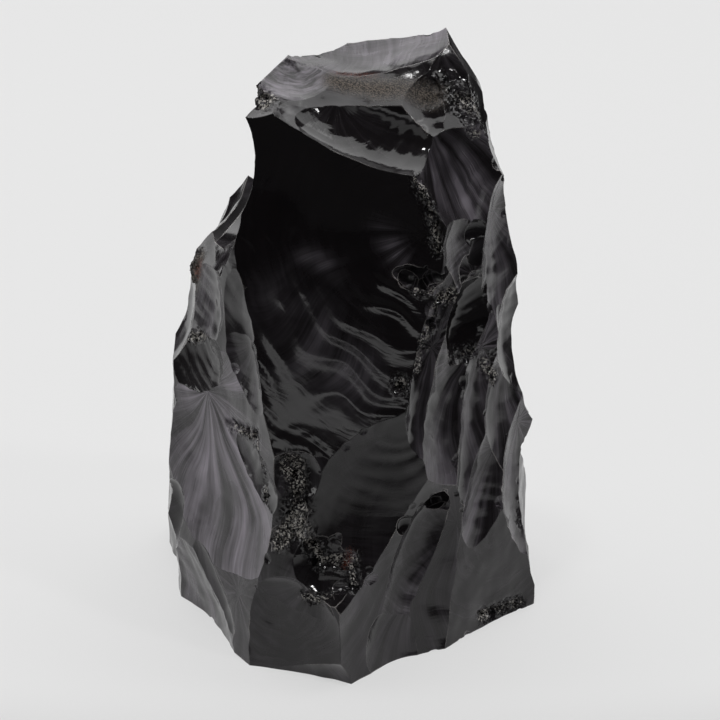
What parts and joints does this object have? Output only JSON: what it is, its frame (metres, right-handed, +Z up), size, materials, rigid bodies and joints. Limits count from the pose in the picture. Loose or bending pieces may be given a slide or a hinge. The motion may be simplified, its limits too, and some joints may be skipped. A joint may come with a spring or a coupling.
{
  "type": "obsidian chunk",
  "caption": "Upright raw chunk of black volcanic glass with concave flake scars, sharp ridges, a sloping broken crown and a flat base to stand on.",
  "frame": {"origin": "the resting point on the flat base, under the middle of the stone", "axes": "+Z up out of the base, -Y toward the broad smooth front scar, +X to the stone's right as seen from the front"},
  "size_m": [0.0933, 0.0986, 0.1448],
  "materials": {
    "obsidian": "gloss"
  },
  "bodies": {
    "root": {"obsidian_chunk": "obsidian"}
  },
  "joints": []
}
